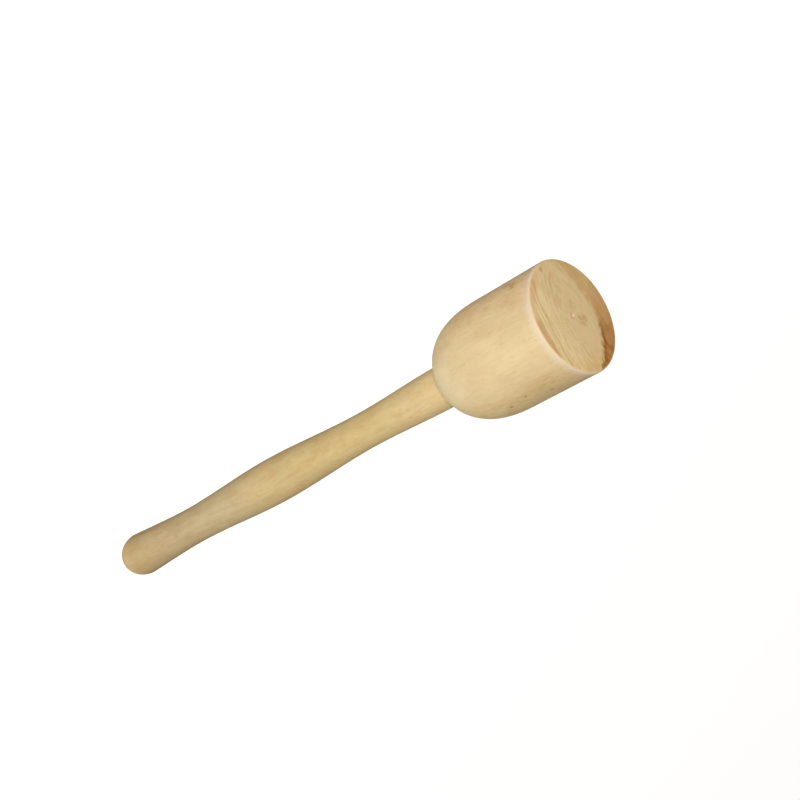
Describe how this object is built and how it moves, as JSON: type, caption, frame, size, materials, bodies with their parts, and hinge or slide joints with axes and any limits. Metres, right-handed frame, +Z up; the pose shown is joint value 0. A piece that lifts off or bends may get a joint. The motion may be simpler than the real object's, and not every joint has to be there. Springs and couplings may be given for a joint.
{
  "type": "wooden mallet",
  "caption": "Turned wooden mallet: a bell-shaped beech head with a flat striking face, wedged on a double-waisted handle with a domed butt.",
  "frame": {"origin": "middle of the box's underside: halfway along the mallet, below its axis, on the line that the barrel lies on", "axes": "+X along the mallet's axis, from the handle's butt to the striking face; +Z up, with the mallet lying down and its axis horizontal 32.5 mm above Z = 0; +Y across it"},
  "size_m": [0.3714, 0.065, 0.065],
  "materials": {
    "head_beech": "sanded, unvarnished, matte",
    "handle_beech": "sanded, lightly oiled by hand, low sheen",
    "wedge_beech": "sawn, matte"
  },
  "bodies": {
    "root": {"head": "head_beech", "handle": "handle_beech", "foxtail_wedge": "wedge_beech"}
  },
  "joints": []
}
